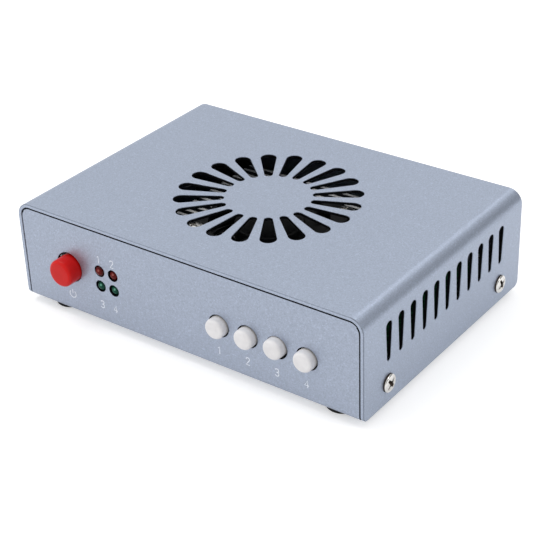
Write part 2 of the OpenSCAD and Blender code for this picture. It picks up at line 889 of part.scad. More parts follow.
module fan_frame() {
    color([0.07, 0.07, 0.08]) difference() {
        union() {
            translate([0, 0, fan_z]) difference() {
                linear_extrude(fan_t) round_square(fan_w, fan_corner_r);
                translate([0, 0, -cut]) cylinder(h = fan_t + 2 * cut, r = duct_r, $fn = 96);
            }
            translate([0, 0, fan_z]) cylinder(h = motor_plate_z - fan_z, r = motor_plate_r);
            for (a = [45, 135]) rotate(a) translate([0, 0, fan_z + strut_lift + strut_t / 2]) {
                cube([2 * duct_r + fan_wall, strut_w, strut_t], center = true);
            }
            translate([0, 0, fan_z]) cylinder(h = tube_top - fan_z, r = tube_r);
        }
        translate([0, 0, motor_plate_z]) cylinder(h = fan_t, r = bearing_r + seat_gap);
        at_corners(fan_screw_at, fan_screw_at) {
            translate([0, 0, fan_z - cut]) cylinder(h = fan_t + 2 * cut, r = hole_r);
        }
    }
}

module fan_rotor() {
    blade_len = blade_r - hub_r + 2 * blade_t;
    chord = blade_h / sin(blade_slope);
    color([0.1, 0.1, 0.11]) {
        difference() {
            translate([0, 0, rotor_z]) cylinder(h = rotor_top - rotor_z, r = hub_r);
            translate([0, 0, rotor_z - cut]) {
                cylinder(h = rotor_top - hub_wall - rotor_z + cut, r = hub_r - hub_wall);
            }
            translate([0, 0, rotor_top - hub_wall - cut]) {
                cylinder(h = hub_wall + 2 * cut, r = shaft_d / 2 + seat_gap);
            }
        }
        difference() {
            intersection() {
                for (i = [0 : blade_count - 1]) rotate(i * 360 / blade_count) {
                    translate([hub_r - blade_t + blade_len / 2, 0, blade_z + blade_h / 2]) {
                        rotate([blade_slope, 0, 0]) {
                            cube([blade_len, blade_reach * chord, blade_t], center = true);
                        }
                    }
                }
                translate([0, 0, blade_z]) cylinder(h = blade_h, r = blade_r, $fn = 96);
            }
            translate([0, 0, rotor_z]) cylinder(h = rotor_top - rotor_z, r = hub_r - hub_wall / 2);
        }
    }
}

module fan_magnet() {
    color([0.25, 0.22, 0.2]) translate([0, 0, rotor_z + magnet_lift]) difference() {
        cylinder(h = magnet_h, r = magnet_r);
        translate([0, 0, -cut]) cylinder(h = magnet_h + 2 * cut, r = magnet_r - magnet_wall);
    }
}

module fan_shaft() {
    foot = motor_plate_z + shaft_end_gap;
    color([0.8, 0.8, 0.82]) translate([0, 0, foot]) cylinder(h = rotor_top - foot, d = shaft_d);
}

module fan_bearing() {
    h = tube_top - motor_plate_z;
    color([0.75, 0.6, 0.3]) translate([0, 0, motor_plate_z]) difference() {
        cylinder(h = h, r = bearing_r);
        translate([0, 0, -cut]) cylinder(h = h + 2 * cut, r = shaft_d / 2 + shaft_gap);
    }
}

module fan_stator() {
    color([0.7, 0.4, 0.2]) translate([0, 0, motor_plate_z + stator_lift]) difference() {
        cylinder(h = stator_h, r = stator_r);
        translate([0, 0, -cut]) cylinder(h = stator_h + 2 * cut, r = tube_r + seat_gap);
    }
}

module fan_screws() {
    color([0.78, 0.78, 0.8]) at_corners(fan_screw_at, fan_screw_at) {
        translate([0, 0, fan_top]) screw(fan_screw_len);
    }
}

module fan_nuts() {
    color([0.78, 0.78, 0.8]) at_corners(fan_screw_at, fan_screw_at) {
        translate([0, 0, board_z - fan_nut_h]) difference() {
            cylinder(h = fan_nut_h, d = fan_nut_d, $fn = 6);
            translate([0, 0, -cut]) cylinder(h = fan_nut_h + 2 * cut, r = thread_r);
        }
    }
}

module fan_header() {
    color([0.9, 0.89, 0.85]) {
        translate([header_x - header_w / 2, lead_y - header_len / 2, board_top]) {
            cube([header_w, header_len, header_h]);
        }
    }
}

// A lead leaves the fan's frame, runs between two fins, bends down and ends in the header
module fan_lead(side) {
    out_len = -fan_w / 2 - header_x - lead_bend_r;
    translate([0, lead_y + side * fin_pitch / 2, 0]) {
        translate([header_x + lead_bend_r, 0, lead_z]) rotate([0, 90, 0]) {
            cylinder(h = out_len, d = lead_d);
        }
        translate([header_x + lead_bend_r, 0, lead_z - lead_bend_r]) rotate([90, 0, 0]) {
            rotate(90) rotate_extrude(angle = 90) translate([lead_bend_r, 0]) circle(d = lead_d);
        }
        translate([header_x, 0, board_top + header_h]) {
            cylinder(h = lead_drop, d = lead_d);
        }
    }
}

module fan_lead_red() {
    color([0.7, 0.1, 0.1]) fan_lead(-1);
}

module fan_lead_black() {
    color([0.08, 0.08, 0.08]) fan_lead(1);
}

// ---------------------------------------------------------------- rear sockets

module dc_jack() {
    color([0.08, 0.08, 0.09]) difference() {
        union() {
            translate([jack_x - jack_w / 2, jack_front_y, board_top]) {
                cube([jack_w, jack_d - socket_gap, jack_h]);
            }
            to_rear(jack_x, jack_front_y, jack_z) {
                cylinder(h = jack_nose_y - jack_front_y, d = jack_nose_d);
            }
        }
        to_rear(jack_x, jack_nose_y - jack_bore_len, jack_z) {
            cylinder(h = jack_bore_len + cut, d = jack_bore_d);
        }
    }
}

module dc_jack_pin() {
    color([0.8, 0.8, 0.8]) to_rear(jack_x, jack_nose_y - jack_bore_len, jack_z) {
        cylinder(h = jack_pin_len, d = jack_pin_d);
    }
}

module usb_socket() {
    color([0.8, 0.8, 0.82]) to_rear(usb_x, usb_end_y - usb_d, usb_z) difference() {
        linear_extrude(usb_d) obround(usb_w, usb_h);
        translate([0, 0, usb_back]) linear_extrude(usb_d) {
            obround(usb_w - 2 * usb_wall, usb_h - 2 * usb_wall);
        }
    }
}

module usb_tongue() {
    color([0.1, 0.1, 0.11]) {
        translate([usb_x - tongue_w / 2, usb_end_y - usb_d + usb_back, usb_z - tongue_t / 2]) {
            cube([tongue_w, tongue_len, tongue_t]);
        }
    }
}

module output_header() {
    color([0.2, 0.5, 0.25]) difference() {
        translate([output_x - output_w / 2, output_end_y - output_d, board_top]) {
            cube([output_w, output_d, output_h]);
        }
        translate([output_x - output_w / 2 + output_wall, output_end_y - output_d + output_back,
                   board_top + output_wall]) {
            cube([output_w - 2 * output_wall, output_d, output_h - 2 * output_wall]);
        }
    }
}

module output_pins() {
    first_x = output_x - (output_count - 1) / 2 * output_pitch;
    color([0.8, 0.8, 0.8]) for (i = [0 : output_count - 1]) {
        translate([first_x + i * output_pitch - output_pin_w / 2,
                   output_end_y - output_d + output_back,
                   board_top + output_h / 2 - output_pin_w / 2]) {
            cube([output_pin_w, output_pin_len, output_pin_w]);
        }
    }
}

// ---------------------------------------------------------------- board parts

// Electrolytic capacitor with a round edge, standing on the board
module can(x, y) {
    translate([x, y, board_top]) button(can_d / 2, can_h, can_edge_r);
}

module capacitors() {
    last_y = jack_front_y - can_gap - can_d / 2;
    color([0.2, 0.22, 0.28]) {
        can(-bay_x, last_y - can_pitch);
        can(-bay_x, last_y);
        can(bay_x, sink_w / 3);
    }
}

module inductor() {
    color([0.2, 0.2, 0.21]) translate([bay_x, 0, board_top]) {
        linear_extrude(coil_h) round_square(coil_w, coil_edge_r);
    }
}

module controller_chip() {
    corner = [bay_x - controller_w / 2, -sink_w / 3 - controller_w / 2, board_top];
    color([0.09, 0.09, 0.1]) translate(corner) cube([controller_w, controller_w, controller_h]);
}

// Row of small block-shaped parts behind the front panel, right of the lamps
module small_parts() {
    first_x = lamp_x + lamp_block_w / 2 + small_gap[0];
    row_y = lamp_block_y + lamp_block_d + small_gap[1];
    color([0.62, 0.52, 0.4]) for (i = [0 : small_count - 1]) {
        translate([first_x + i * small_pitch, row_y, board_top]) cube(small_size);
    }
}

// ---------------------------------------------------------------- nodes

place() top_cover();
place() base_tray();
place() clinch_nuts();
place() cover_screws();
place() rubber_feet();
place() standoffs();
place() board_screws();
place() main_board();
place() power_cap();
place() power_plunger();
place() power_switch();
for (i = [0 : key_count - 1]) {
    place() key_cap(i);
    place() key_stem(i);
    place() key_switch(i);
}
place() lamp_red_1();
place() lamp_red_2();
place() lamp_green_1();
place() lamp_green_2();
place() lamp_block();
place() processor();
place() thermal_pad();
place() heat_sink();
place() fan_frame();
place() fan_rotor();
place() fan_magnet();
place() fan_shaft();
place() fan_bearing();
place() fan_stator();
place() fan_screws();
place() fan_nuts();
place() fan_header();
place() fan_lead_red();
place() fan_lead_black();
place() dc_jack();
place() dc_jack_pin();
place() usb_socket();
place() usb_tongue();
place() output_header();
place() output_pins();
place() capacitors();
place() inductor();
place() controller_chip();
place() small_parts();
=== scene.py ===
"""Looks of the bench controller box: finishes, printed signs and finely edged sheet parts."""
import json
import math
import bpy
import bmesh
from mathutils import Matrix, Vector


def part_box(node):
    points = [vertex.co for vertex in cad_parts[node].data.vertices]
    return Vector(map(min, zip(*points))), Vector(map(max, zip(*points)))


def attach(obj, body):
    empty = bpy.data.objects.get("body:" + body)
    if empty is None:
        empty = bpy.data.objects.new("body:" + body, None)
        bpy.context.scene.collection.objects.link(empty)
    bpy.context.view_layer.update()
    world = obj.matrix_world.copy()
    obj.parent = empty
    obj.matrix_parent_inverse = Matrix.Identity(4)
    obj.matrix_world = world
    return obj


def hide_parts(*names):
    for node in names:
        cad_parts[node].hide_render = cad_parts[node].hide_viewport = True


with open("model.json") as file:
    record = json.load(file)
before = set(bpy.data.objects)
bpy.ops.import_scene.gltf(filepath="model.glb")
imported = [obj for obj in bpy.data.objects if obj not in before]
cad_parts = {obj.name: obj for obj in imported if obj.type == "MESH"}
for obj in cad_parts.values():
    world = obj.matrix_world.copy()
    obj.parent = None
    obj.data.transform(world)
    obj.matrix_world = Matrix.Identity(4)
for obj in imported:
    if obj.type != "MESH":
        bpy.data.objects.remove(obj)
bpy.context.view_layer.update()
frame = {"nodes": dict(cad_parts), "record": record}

MM = 0.001
nodes = frame["nodes"]


# ---------------------------------------------------------------- helpers

def centre(node):
    low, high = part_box(node)
    return (low + high) / 2


def extent(node):
    low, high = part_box(node)
    return high - low


def put_in_scene(name, data):
    thing = bpy.data.objects.new(name, data)
    bpy.context.scene.collection.objects.link(thing)
    return thing


# ---------------------------------------------------------------- sizes

# Sheet: the bends' radii are those of their outer side, EDGE_R rounds the cut edges, and
# COVER_GAP is the play between the panels' corners and the cover
SHEET_T = 1.0 * MM
EDGE_R = 0.2 * MM
COVER_BEND_R = 4.0 * MM
WALL_CORNER_R = 1.7 * MM
TRAY_BEND_R = 1.5 * MM
COVER_GAP = 0.15 * MM
PANEL_CORNER_R = COVER_BEND_R - SHEET_T - COVER_GAP

cover_low, cover_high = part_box("top_cover")
tray_low, tray_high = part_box("base_tray")
COVER_SIZE = cover_high - cover_low
TRAY_SIZE = tray_high - tray_low
MID_Y = (cover_low.y + cover_high.y) / 2
UNDERSIDE = cover_low.z
FRONT_PANEL_Y = tray_low.y

# Petals of the top vent: end radii and the distances of their centres
PETALS = 20
PETAL_FAR = (2.2 * MM, 23.2 * MM)
PETAL_NEAR = (1.12 * MM, 12.92 * MM)

# Slots of the side walls: end radii, and heights of their centres over the lower edge
SLOTS = 11
SLOT_PITCH = 5.49 * MM
SLOT_TOP = (1.35 * MM, 21.75 * MM)
SLOT_LOW = (0.78 * MM, 12.78 * MM)

# Screw holes of the side walls: SCREW_Z is the height over the lower edge, and SCREW_SPAN
# the distance from the front hole to the rear one
SCREW_HOLE_R = 1.7 * MM
SCREW_Z = 5.7 * MM
SCREW_SPAN = 55.2 * MM

FLANGE_H = 10 * MM
FLANGE_INSET = 4.25 * MM
FLANGE_HALF = TRAY_SIZE.y / 2 - SHEET_T - FLANGE_INSET
BEND_RELIEF = 0.8 * MM

# Holes of the panels: each gap is the play round a part, each skew the distance of a cap
# from the middle of its hole
POWER_GAP = 0.4 * MM
POWER_SKEW = 0.2 * MM
KEYS = 4
KEY_R = 2.8 * MM
KEY_GAP = 0.32 * MM
KEY_SKEW = 0.17 * MM
LAMPS = ("lamp_red_1", "lamp_red_2", "lamp_green_1", "lamp_green_2")
LAMP_R = 1.5 * MM
LAMP_GAP = 0.13 * MM
JACK_NOSE_R = 4.0 * MM
SOCKET_GAP = 0.25 * MM

# The corners of the box, as the signs of x and y
CORNERS = [(sx, sy) for sx in (-1, 1) for sy in (-1, 1)]


def key_rise(i):
    """The third cap sits above its hole's centre, the others below."""
    return KEY_SKEW if i == 3 else -KEY_SKEW


# ---------------------------------------------------------------- camera

# Where the photo was taken from, as solved from the box's edges
AZIMUTH = math.radians(37.314)
ELEVATION = math.radians(30.209)
ROLL = math.radians(-2.218)
DISTANCE = 402.29 * MM
LOOK_AT = Vector((-1.562, 1.5, 8.564)) * MM
LENS = 99.46
SENSOR = 36
CLIP_START = 10 * MM


def make_camera():
    back = Vector((math.sin(AZIMUTH) * math.cos(ELEVATION),
                   -math.cos(AZIMUTH) * math.cos(ELEVATION),
                   math.sin(ELEVATION)))
    right = Vector((0, 0, 1)).cross(back).normalized()
    up = back.cross(right)
    rolled_right = math.cos(ROLL) * right + math.sin(ROLL) * up
    rolled_up = math.cos(ROLL) * up - math.sin(ROLL) * right
    camera = put_in_scene("camera", bpy.data.cameras.new("camera"))
    camera.data.lens = LENS
    camera.data.sensor_width = SENSOR
    camera.data.clip_start = CLIP_START
    turn = Matrix((rolled_right, rolled_up, back)).transposed().to_4x4()
    camera.matrix_world = Matrix.Translation(LOOK_AT + back * DISTANCE) @ turn
    bpy.context.scene.camera = camera


# ---------------------------------------------------------------- materials

def colour(red, green, blue):
    """A colour as it shows on a screen, 0 to 255, as the shader wants it."""
    def linear(value):
        share = value / 255
        return share / 12.92 if share <= 0.04045 else ((share + 0.055) / 1.055) ** 2.4
    return (linear(red), linear(green), linear(blue), 1.0)


class Finish:
    """A procedural material under construction."""

    def __init__(self, name, base, roughness=0.5, metallic=0.0, **inputs):
        self.material = bpy.data.materials.new(name)
        self.material.use_nodes = True
        self.tree = self.material.node_tree
        self.shader = self.tree.nodes["Principled BSDF"]
        self.set("Base Color", base)
        self.set("Roughness", roughness)
        self.set("Metallic", metallic)
        for key, value in inputs.items():
            self.set(key.replace("_", " "), value)

    def set(self, socket, value):
        self.shader.inputs[socket].default_value = value

    def node(self, kind, **settings):
        made = self.tree.nodes.new(kind)
        for key, value in settings.items():
            setattr(made, key, value)
        return made

    def link(self, source, target):
        self.tree.links.new(source, target)

    def place(self):
        return self.node("ShaderNodeTexCoord").outputs["Object"]

    def facing(self, axis, kind="Normal"):
        """How far the surface faces along "X", "Y" or "Z", from -1 to 1."""
        split = self.node("ShaderNodeSeparateXYZ")
        self.link(self.node("ShaderNodeNewGeometry").outputs[kind], split.inputs["Vector"])
        return split.outputs[axis]

    def noise(self, size, detail=2.0, roughness=0.5, squeeze=None):
        """Smooth noise whose features are about size metres wide.

        squeeze holds how many times narrower they are along each axis."""
        made = self.node("ShaderNodeTexNoise")
        made.inputs["Scale"].default_value = 1 / size
        made.inputs["Detail"].default_value = detail
        made.inputs["Roughness"].default_value = roughness
        place = self.place()
        if squeeze:
            mapping = self.node("ShaderNodeMapping")
            mapping.inputs["Scale"].default_value = squeeze
            self.link(place, mapping.inputs["Vector"])
            place = mapping.outputs["Vector"]
        self.link(place, made.inputs["Vector"])
        return made.outputs["Fac"]

    def cells(self, size, **settings):
        made = self.node("ShaderNodeTexVoronoi", **settings)
        made.inputs["Scale"].default_value = 1 / size
        self.link(self.place(), made.inputs["Vector"])
        return made

    def range(self, value, low, high, to_low=0.0, to_high=1.0):
        made = self.node("ShaderNodeMapRange")
        made.inputs["From Min"].default_value = low
        made.inputs["From Max"].default_value = high
        made.inputs["To Min"].default_value = to_low
        made.inputs["To Max"].default_value = to_high
        self.link(value, made.inputs["Value"])
        return made.outputs["Result"]

    def mix(self, share, first, second):
        """Mixes two colours, each a value or a socket."""
        made = self.node("ShaderNodeMix", data_type="RGBA")
        self.link(share, made.inputs["Factor"])
        for socket, value in (("A", first), ("B", second)):
            target = [s for s in made.inputs if s.name == socket and s.type == "RGBA"][0]
            if isinstance(value, bpy.types.NodeSocket):
                self.link(value, target)
            else:
                target.default_value = value
        return [s for s in made.outputs if s.type == "RGBA"][0]

    def tint(self, value):
        self.link(value, self.shader.inputs["Base Color"])

    def bump(self, height, distance):
        made = self.node("ShaderNodeBump")
        made.inputs["Strength"].default_value = 1.0
        made.inputs["Distance"].default_value = distance
        self.link(height, made.inputs["Height"])
        self.link(made.outputs["Normal"], self.shader.inputs["Normal"])


def shade(base, factor):
    return tuple(min(1.0, c * factor) for c in base[:3]) + (1.0,)


# Powder coat: the sizes of its features, and the flakes' share and brightness
GRAIN_SIZE = 0.35 * MM
FLAKE_SIZE = 0.3 * MM
FLAKE_SHARE = 0.35
FLAKE_SHINE = 1.6
PEEL_SIZE = 0.5 * MM
PEEL_DEPTH = 0.012 * MM


def paint(name, base):
    """Metallic powder coat: fine grain, brighter flakes and a faint orange peel."""
    made = Finish(name, base, roughness=0.42, metallic=0.75)
    grain = made.range(made.noise(GRAIN_SIZE, 3, 0.6), 0.3, 0.7)
    coat = made.mix(grain, shade(base, 0.86), shade(base, 1.14))
    flakes = made.cells(FLAKE_SIZE)
    sparkle = made.range(flakes.outputs["Color"], 0.72, 0.95, 0.0, FLAKE_SHARE)
    made.tint(made.mix(sparkle, coat, shade(base, FLAKE_SHINE)))
    made.bump(made.noise(PEEL_SIZE, 2), PEEL_DEPTH)
    return made.material


def plastic(name, base, roughness=0.45, grain=0.25, depth=0.004, **inputs):
    """Moulded plastic with a slight change of shade and a fine texture.

    grain and depth are the size and height of the texture, in millimetres."""
    made = Finish(name, base, roughness=roughness, **inputs)
    made.tint(made.mix(made.range(made.noise(2.5 * MM, 3), 0.3, 0.7),
                       shade(base, 0.95), shade(base, 1.05)))
    made.bump(made.noise(grain * MM, 2), depth * MM)
    return made.material


def metal(name, base, roughness=0.25, scratch=0.004):
    """Plated or bare metal with fine wear, whose height scratch is in millimetres."""
    made = Finish(name, base, roughness=roughness, metallic=1.0)
    made.tint(made.mix(made.range(made.noise(0.6 * MM, 4), 0.35, 0.65),
                       shade(base, 0.9), shade(base, 1.06)))
    made.bump(made.noise(0.2 * MM, 3), scratch * MM)
    return made.material


# Painted highlight: a lamp's bulb is painted lighter where it faces this way: the cosines
# at the spot's edge and core, and the spot's share at its core
HIGHLIGHT_FACING = Vector((0.16, -0.92, 0.36)).normalized()
HIGHLIGHT_EDGE = 0.965
HIGHLIGHT_CORE = 0.995
HIGHLIGHT_SHARE = 0.75


def lens(name, rim, core, glint):
    """Tinted clear bulb that points at -Y, painted darker at its rim as shade, with a painted
    highlight near the tip.
    """
    made = Finish(name, core, roughness=0.12, Specular_IOR_Level=0.12)
    # The tint, with painted shade towards the rim
    tint_and_rim_shade = made.mix(made.range(made.facing("Y"), -0.3, -0.9), rim, core)
    # Painted highlight near the tip
    near_highlight = made.node("ShaderNodeVectorMath", operation="DOT_PRODUCT")
    near_highlight.inputs[1].default_value = HIGHLIGHT_FACING
    made.link(made.node("ShaderNodeNewGeometry").outputs["Normal"], near_highlight.inputs[0])
    spot = made.range(near_highlight.outputs["Value"], HIGHLIGHT_EDGE, HIGHLIGHT_CORE, 0.0, HIGHLIGHT_SHARE)
    made.tint(made.mix(spot, tint_and_rim_shade, glint))
    made.bump(made.noise(0.8 * MM, 1), 0.002 * MM)
    return made.material


def circuit_board(name):
    """Green solder mask over fine tracks."""
    made = Finish(name, colour(18, 74, 44), roughness=0.3)
    tracks = made.cells(2.2 * MM, feature="DISTANCE_TO_EDGE")
    line = made.range(tracks.outputs["Distance"], 0.05, 0.09)
    made.tint(made.mix(line, colour(34, 104, 64), colour(14, 62, 38)))
    made.bump(line, 0.02 * MM)
    return made.material


# The lines on the heat sink run along X
FIN_LINES = (0.08, 3.0, 6.0)


def fin_metal(name):
    """Extruded aluminium with fine lines; the fins' tops are painted light and their sides
    dark, as painted highlight and painted shade.
    """
    made = Finish(name, colour(206, 209, 214), roughness=0.5, metallic=0.25)
    lines = made.noise(1 * MM, squeeze=FIN_LINES)
    bare = made.mix(made.range(lines, 0.35, 0.65),
                    colour(228, 228, 228), colour(252, 252, 252))
    # Painted light and shade: upward faces take the bright lined colour, the others dark grey
    lit_tops = made.range(made.facing("Z", "True Normal"), 0.5, 0.8)
    made.tint(made.mix(lit_tops, colour(52, 54, 60), bare))
    made.bump(lines, 0.006 * MM)
    return made.material


PAINT = colour(168, 178, 196)
PANEL = colour(164, 173, 190)

finishes = {
    "cover_paint": paint("cover_paint", PAINT),
    "panel_paint": paint("panel_paint", PANEL),
    "nickel_screw": metal("nickel_screw", colour(228, 226, 223), 0.12),
    "zinc_steel": metal("zinc_steel", colour(190, 192, 196), 0.35),
    "brass_nickel": metal("brass_nickel", colour(196, 190, 172), 0.3),
    "black_rubber": plastic("black_rubber", colour(14, 14, 15), 0.75, 0.35, 0.012,
                            Specular_IOR_Level=0.2),
    "board_green": circuit_board("board_green"),
    "red_plastic": plastic("red_plastic", colour(210, 19, 16), 0.3, Specular_IOR_Level=0.2),
    "white_plastic": plastic("white_plastic", colour(241, 239, 240), 0.4),
    "black_plastic": plastic("black_plastic", colour(24, 24, 26), 0.45),
    # Lenses: the rim colour is painted shade, the core colour the tint, the last a painted
    # highlight
    "red_lens": lens("red_lens", colour(36, 4, 4), colour(98, 16, 14),
                     colour(164, 96, 88)),
    "green_lens": lens("green_lens", colour(3, 28, 22), colour(8, 72, 56),
                       colour(118, 186, 160)),
    "chip_black": plastic("chip_black", colour(34, 34, 36), 0.6, 0.15, 0.006),
    "pad_grey": plastic("pad_grey", colour(150, 156, 166), 0.8),
    "bright_aluminium": fin_metal("bright_aluminium"),
    "fan_black": plastic("fan_black", colour(13, 14, 17), 0.5, Specular_IOR_Level=0.25),
    "magnet_grey": plastic("magnet_grey", colour(70, 66, 62), 0.6),
    "shaft_steel": metal("shaft_steel", colour(205, 206, 210), 0.2),
    "bronze": metal("bronze", colour(176, 140, 86), 0.4),
    "copper_coil": metal("copper_coil", colour(176, 92, 52), 0.35),
    "red_wire": plastic("red_wire", colour(168, 24, 24), 0.4),
    "black_wire": plastic("black_wire", colour(22, 22, 24), 0.4),
    "ivory_plastic": plastic("ivory_plastic", colour(226, 220, 202), 0.45),
    "contact_metal": metal("contact_metal", colour(208, 208, 208), 0.22),
    "green_plastic": plastic("green_plastic", colour(46, 124, 66), 0.45),
    "can_sleeve": plastic("can_sleeve", colour(30, 36, 50), 0.3),
    "ferrite": plastic("ferrite", colour(52, 52, 55), 0.7, 0.4, 0.02),
    "ceramic_tan": plastic("ceramic_tan", colour(146, 118, 86), 0.5),
}

# Finishes that a piece has besides the one of its slot, or instead of it
INK = plastic("pale_ink", colour(226, 231, 240), 0.5)
SCREW_SHADE = metal("screw_shade", colour(74, 64, 58), 0.4)
# Painted shade: near-black for the walls of holes, the tray's cut edges and the keys' rims,
# where shade falls
PAINTED_SHADE = plastic("painted_shade_dark", colour(10, 11, 15), 0.7, Specular_IOR_Level=0.1)
# Painted shade: the cover paint darkened for the outward roundings of the cover's outline
SHADED_ROUNDING_PAINT = paint("painted_shade_rounding", shade(PAINT, 0.55))


def dress_nodes():
    """Gives every CAD node the finish of its material slot."""
    for row in frame["record"]["subparts"]:
        node = nodes[row["node"]]
        node.data.materials.clear()
        node.data.materials.append(finishes[row["material_slot"]])


# Edge radii of the boxy CAD nodes, in millimetres
SOFT_EDGES = {
    "power_switch": 0.25, "power_plunger": 0.2, "lamp_block": 0.25, "processor": 0.15,
    "fan_frame": 0.3, "dc_jack": 0.3, "usb_socket": 0.12, "usb_tongue": 0.1,
    "output_header": 0.25, "output_pins": 0.1, "inductor": 0.4, "controller_chip": 0.15,
    "fan_header": 0.2, "small_parts": 0.1, "thermal_pad": 0.05, "main_board": 0.08,
    "key_switch_1": 0.15, "key_switch_2": 0.15, "key_switch_3": 0.15, "key_switch_4": 0.15,
}
SOFT_EDGE_ANGLE = math.radians(50)
WELD_DISTANCE = 0.001 * MM


def weighted(piece):
    """Flat faces keep flat shading beside their rounded edges."""
    modifier = piece.modifiers.new("weighted_normals", "WEIGHTED_NORMAL")
    modifier.keep_sharp = True
    modifier.weight = 100


def soften_edges():
    """Rounds the edges of the boxy CAD nodes."""
    for name, radius in SOFT_EDGES.items():
        weld = nodes[name].modifiers.new("weld", "WELD")
        weld.merge_threshold = WELD_DISTANCE
        round_off = nodes[name].modifiers.new("round_off", "BEVEL")
        round_off.width = radius * MM
        round_off.segments = 2
        round_off.limit_method = "ANGLE"
        round_off.angle_limit = SOFT_EDGE_ANGLE
        round_off.use_clamp_overlap = True
        weighted(nodes[name])


# ---------------------------------------------------------------- pieces

SHARP_ANGLE = math.radians(35)


def new_piece(name, mesh, body, slot, stands_for, *more_finishes):
    """Links a mesh as a piece of the object, attaches it to its body and hides the node it
    stands for.

    Its first finish is that of its slot. A sign has no slot and stands for no node."""
    if slot:
        mesh.materials.append(finishes[slot])
    for material in more_finishes:
        mesh.materials.append(material)
    piece = put_in_scene(name, mesh)
    mesh.set_sharp_from_angle(angle=SHARP_ANGLE)
    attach(piece, body)
    if stands_for:
        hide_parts(stands_for)
    return piece


def mesh_from(bm, name):
    bmesh.ops.recalc_face_normals(bm, faces=bm.faces)
    for face in bm.faces:
        face.smooth = True
    mesh = bpy.data.meshes.new(name)
    bm.to_mesh(mesh)
    bm.free()
    return mesh


def add_line(curve, points, closed=False):
    """Adds a polyline through (x, y, z) points to a curve."""
    spline = curve.splines.new("POLY")
    spline.points.add(len(points) - 1)
    for point, place in zip(spline.points, points):
        point.co = (*place, 1)
    spline.use_cyclic_u = closed


def curve_mesh(curve):
    holder = put_in_scene(curve.name, curve)
    bpy.context.view_layer.update()
    depsgraph = bpy.context.evaluated_depsgraph_get()
    mesh = bpy.data.meshes.new_from_object(holder.evaluated_get(depsgraph))
    bpy.data.objects.remove(holder)
    return mesh


# ---------------------------------------------------------------- folded sheet

def ring(x, y, radius, steps=32):
    return [(x + radius * math.cos(2 * math.pi * k / steps),
             y + radius * math.sin(2 * math.pi * k / steps)) for k in range(steps)]


def arc(x, y, radius, start, end, steps=8):
    """Points on an arc, its ends included; angles in degrees."""
    angles = [math.radians(start + (end - start) * k / steps) for k in range(steps + 1)]
    return [(x + radius * math.cos(a), y + radius * math.sin(a)) for a in angles]


def drop(far, near):
    """Drop-shaped outline along +X: (radius, place) of its far and near ends."""
    lean = math.degrees(math.asin((far[0] - near[0]) / (far[1] - near[1])))
    return (arc(far[1], 0, far[0], -90 - lean, 90 + lean, 20)
            + arc(near[1], 0, near[0], 90 + lean, 270 - lean, 12))


def turned(points, degrees):
    c, s = math.cos(math.radians(degrees)), math.sin(math.radians(degrees))
    return [(c * x - s * y, s * x + c * y) for x, y in points]


def moved(points, dx, dy):
    return [(x + dx, y + dy) for x, y in points]


# How far apart points of a sheet may be to be joined, while it is still in millimetres
SHEET_WELD = 1e-4
CUT_DISTANCE = 0.0001 * MM

# A face's slope is 1 on the flat outside of a sheet, 0 on the wall of an edge and -1 on
# the flat inside. Faces beyond FLAT_SLOPE are flat, and roundings above EDGE_SLOPE face
# outwards.
FLAT_SLOPE = 0.97
EDGE_SLOPE = 0.3


def flat_sheet(name, outlines):
    """A flat sheet with rounded edges from closed outlines; inner ones are holes."""
    curve = bpy.data.curves.new(name, "CURVE")
    curve.dimensions = "2D"
    curve.fill_mode = "BOTH"
    for points in outlines:
        add_line(curve, [(x / MM, y / MM, 0) for x, y in points], closed=True)
    curve.extrude = (SHEET_T / 2 - EDGE_R) / MM
    curve.bevel_depth = EDGE_R / MM
    curve.bevel_resolution = 1
    curve.offset = -EDGE_R / MM
    mesh = curve_mesh(curve)
    bm = bmesh.new()
    bm.from_mesh(mesh)
    bpy.data.meshes.remove(mesh)
    bmesh.ops.remove_doubles(bm, verts=bm.verts, dist=SHEET_WELD)
    bmesh.ops.scale(bm, vec=(MM, MM, MM), verts=bm.verts)
    bmesh.ops.translate(bm, vec=(0, 0, SHEET_T / 2), verts=bm.verts)
    return bm


def mark_edges(bm, outer, steep, half_x=math.inf, half_y=math.inf, side_x=math.inf):
    """Paints shade on edges: the walls of holes take the second finish and the outline's
    roundings the third.

    outer is the side of the flat sheet, 1 or -1, that ends up outside. Faces whose slope
    is below steep count as walls, and all roundings do beyond side_x. What lies beyond the
    half sizes is the outline."""
    bm.normal_update()
    for face in bm.faces:
        mid = face.calc_center_median()
        inside = abs(mid.x) < half_x and abs(mid.y) < half_y
        slope = face.normal.z * outer
        wall_slope = FLAT_SLOPE if abs(mid.x) > side_x else steep
        if inside and -FLAT_SLOPE < slope < wall_slope:
            face.material_index = 1
        elif not inside and EDGE_SLOPE < slope < FLAT_SLOPE:
            face.material_index = 2


def cut_at(bm, axis, places):
    """Adds edges across the sheet where it will bend."""
    normal = Vector((0, 0, 0))
    normal[axis] = 1
    for place in places:
        for sign in (-1, 1):
            bmesh.ops.bisect_plane(bm, geom=bm.verts[:] + bm.edges[:] + bm.faces[:],
                                   dist=CUT_DISTANCE, plane_co=normal * (sign * place),
                                   plane_no=normal)


def bend_length(radius):
    return math.pi / 2 * (radius - SHEET_T / 2)


def bend_places(start, radius, steps=12):
    return [start + bend_length(radius) * k / steps for k in range(steps + 1)]


def fold(distance, depth, start, radius):
    """Where a point of the flat sheet lands: across, and in from the outer face.

    depth is its depth below the outer face; the bend starts at start."""
    side = math.copysign(1, distance)
    distance = abs(distance)
    if distance <= start:
        return side * distance, depth
    angle = (distance - start) / (radius - SHEET_T / 2)
    if angle < math.pi / 2:
        return (side * (start + (radius - depth) * math.sin(angle)),
                radius - (radius - depth) * math.cos(angle))
    beyond = distance - start - bend_length(radius)
    return side * (start + radius - depth), radius + beyond


def unfolded(height, start, radius):
    """Distance along the flat sheet of a point this far in from the outer face."""
    return start + bend_length(radius) + height - radius


